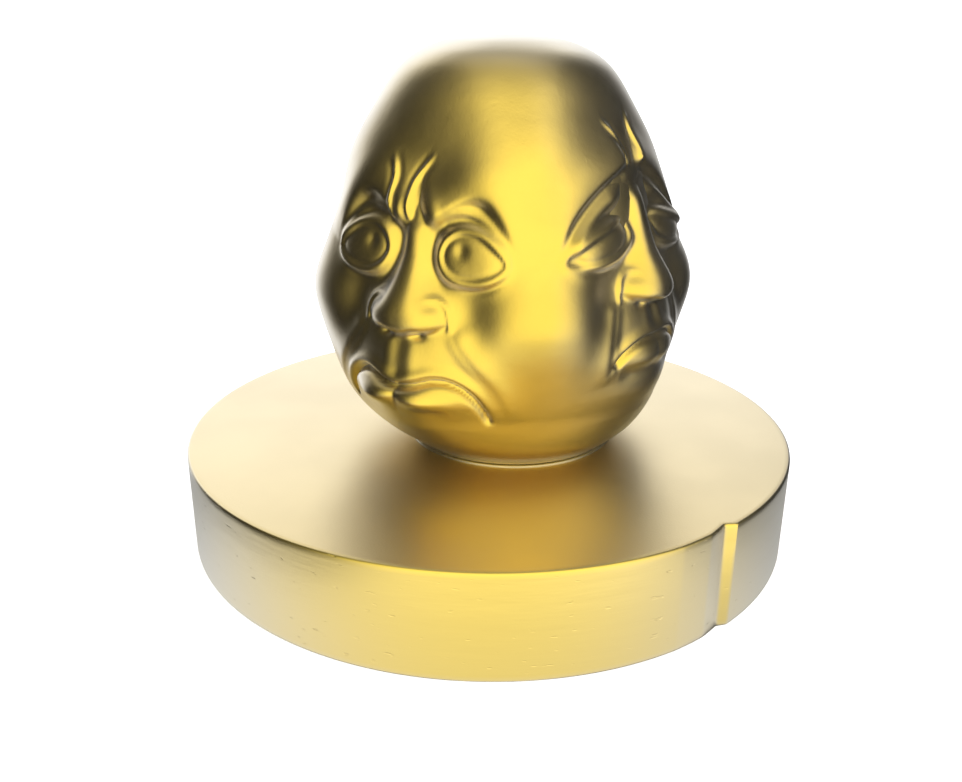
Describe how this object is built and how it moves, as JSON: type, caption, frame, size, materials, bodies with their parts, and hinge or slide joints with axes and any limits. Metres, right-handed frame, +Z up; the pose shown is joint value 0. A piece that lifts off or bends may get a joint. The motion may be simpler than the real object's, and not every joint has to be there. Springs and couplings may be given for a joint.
{
  "type": "turning four-faced doll head on a round stand",
  "caption": "Gold head with a different mood on each side, turning on a pivot screw above a notched round metal stand with a felt underside.",
  "frame": {"origin": "middle of the stand's felt underside, where it rests on a table", "axes": "+Z up; at rest the sorrow face looks along -Y, anger along -X, calm along +Y and joy along +X"},
  "size_m": [0.12, 0.12, 0.0952],
  "materials": {
    "gold_polish": "satin-polished gold-coloured brass",
    "gold_satin": "turned, satin",
    "bright_brass": "polished",
    "bush_bronze": "turned bronze",
    "zinc_steel": "zinc plated",
    "felt": "dark green wool felt"
  },
  "bodies": {
    "stand": {"felt_pad": "felt", "base_disc": "gold_satin", "seat_ring": "bright_brass", "pivot_bush": "bush_bronze", "flat_washer": "zinc_steel", "wave_washer": "zinc_steel"},
    "head": {"head_shell": "gold_polish", "neck_plate": "zinc_steel", "neck_screw_1": "zinc_steel", "neck_screw_2": "zinc_steel", "neck_screw_3": "zinc_steel", "neck_screw_4": "zinc_steel", "swivel_screw": "zinc_steel"}
  },
  "joints": [
    {"name": "head_turn", "type": "hinge", "parent": "stand", "child": "head", "pos_m": [0.0007, -0.0052, 0.02], "axis": [0, 0, 1], "continuous": true}
  ]
}
